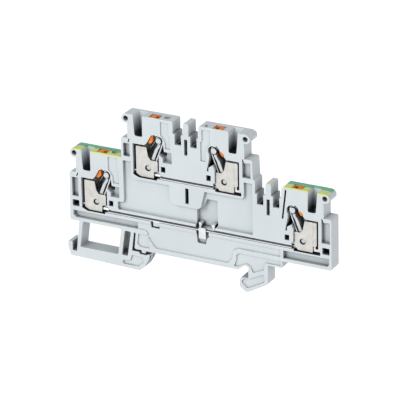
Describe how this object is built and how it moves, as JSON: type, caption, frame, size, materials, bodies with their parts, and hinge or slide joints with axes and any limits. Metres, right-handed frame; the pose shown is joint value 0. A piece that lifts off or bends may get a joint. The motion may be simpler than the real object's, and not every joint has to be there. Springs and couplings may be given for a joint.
{
  "type": "rail terminal block",
  "caption": "Slim two-level push-in terminal block that snaps on a 35 mm rail, with release buttons, bridge shafts and an open side showing its clamps.",
  "frame": {"origin": "middle of the seat on the rail, halfway through the thickness", "axes": "+X along the block to the hook side, +Y through the thickness to the closed back wall, +Z away from the rail"},
  "size_m": [0.0903, 0.0052, 0.0514],
  "materials": {
    "housing_plastic": "fine matt",
    "cage_steel": "satin",
    "spring_steel": "satin",
    "bar_metal": "tinned, bright satin",
    "button_plastic": "satin"
  },
  "bodies": {
    "block": {"housing": "housing_plastic", "clamp_cage_lower_left": "cage_steel", "clamp_spring_lower_left": "spring_steel", "clamp_cage_upper_left": "cage_steel", "clamp_spring_upper_left": "spring_steel", "clamp_cage_upper_right": "cage_steel", "clamp_spring_upper_right": "spring_steel", "clamp_cage_lower_right": "cage_steel", "clamp_spring_lower_right": "spring_steel", "current_bar_upper": "bar_metal", "current_bar_lower": "bar_metal", "centre_contact": "spring_steel"},
    "button_lower_left": {"release_button_lower_left": "button_plastic"},
    "button_upper_left": {"release_button_upper_left": "button_plastic"},
    "button_upper_right": {"release_button_upper_right": "button_plastic"},
    "button_lower_right": {"release_button_lower_right": "button_plastic"}
  },
  "joints": [
    {"name": "press_lower_left", "type": "slide", "parent": "block", "child": "button_lower_left", "axis": [0, 0, -1], "range_m": [0, 0.0016], "stiffness_N_per_m": 600, "springref_m": -0.0005, "deforming": ["clamp_spring_lower_left"]},
    {"name": "press_upper_left", "type": "slide", "parent": "block", "child": "button_upper_left", "axis": [0, 0, -1], "range_m": [0, 0.0016], "stiffness_N_per_m": 600, "springref_m": -0.0005, "deforming": ["clamp_spring_upper_left"]},
    {"name": "press_upper_right", "type": "slide", "parent": "block", "child": "button_upper_right", "axis": [0, 0, -1], "range_m": [0, 0.0016], "stiffness_N_per_m": 600, "springref_m": -0.0005, "deforming": ["clamp_spring_upper_right"]},
    {"name": "press_lower_right", "type": "slide", "parent": "block", "child": "button_lower_right", "axis": [0, 0, -1], "range_m": [0, 0.0016], "stiffness_N_per_m": 600, "springref_m": -0.0005, "deforming": ["clamp_spring_lower_right"]}
  ]
}
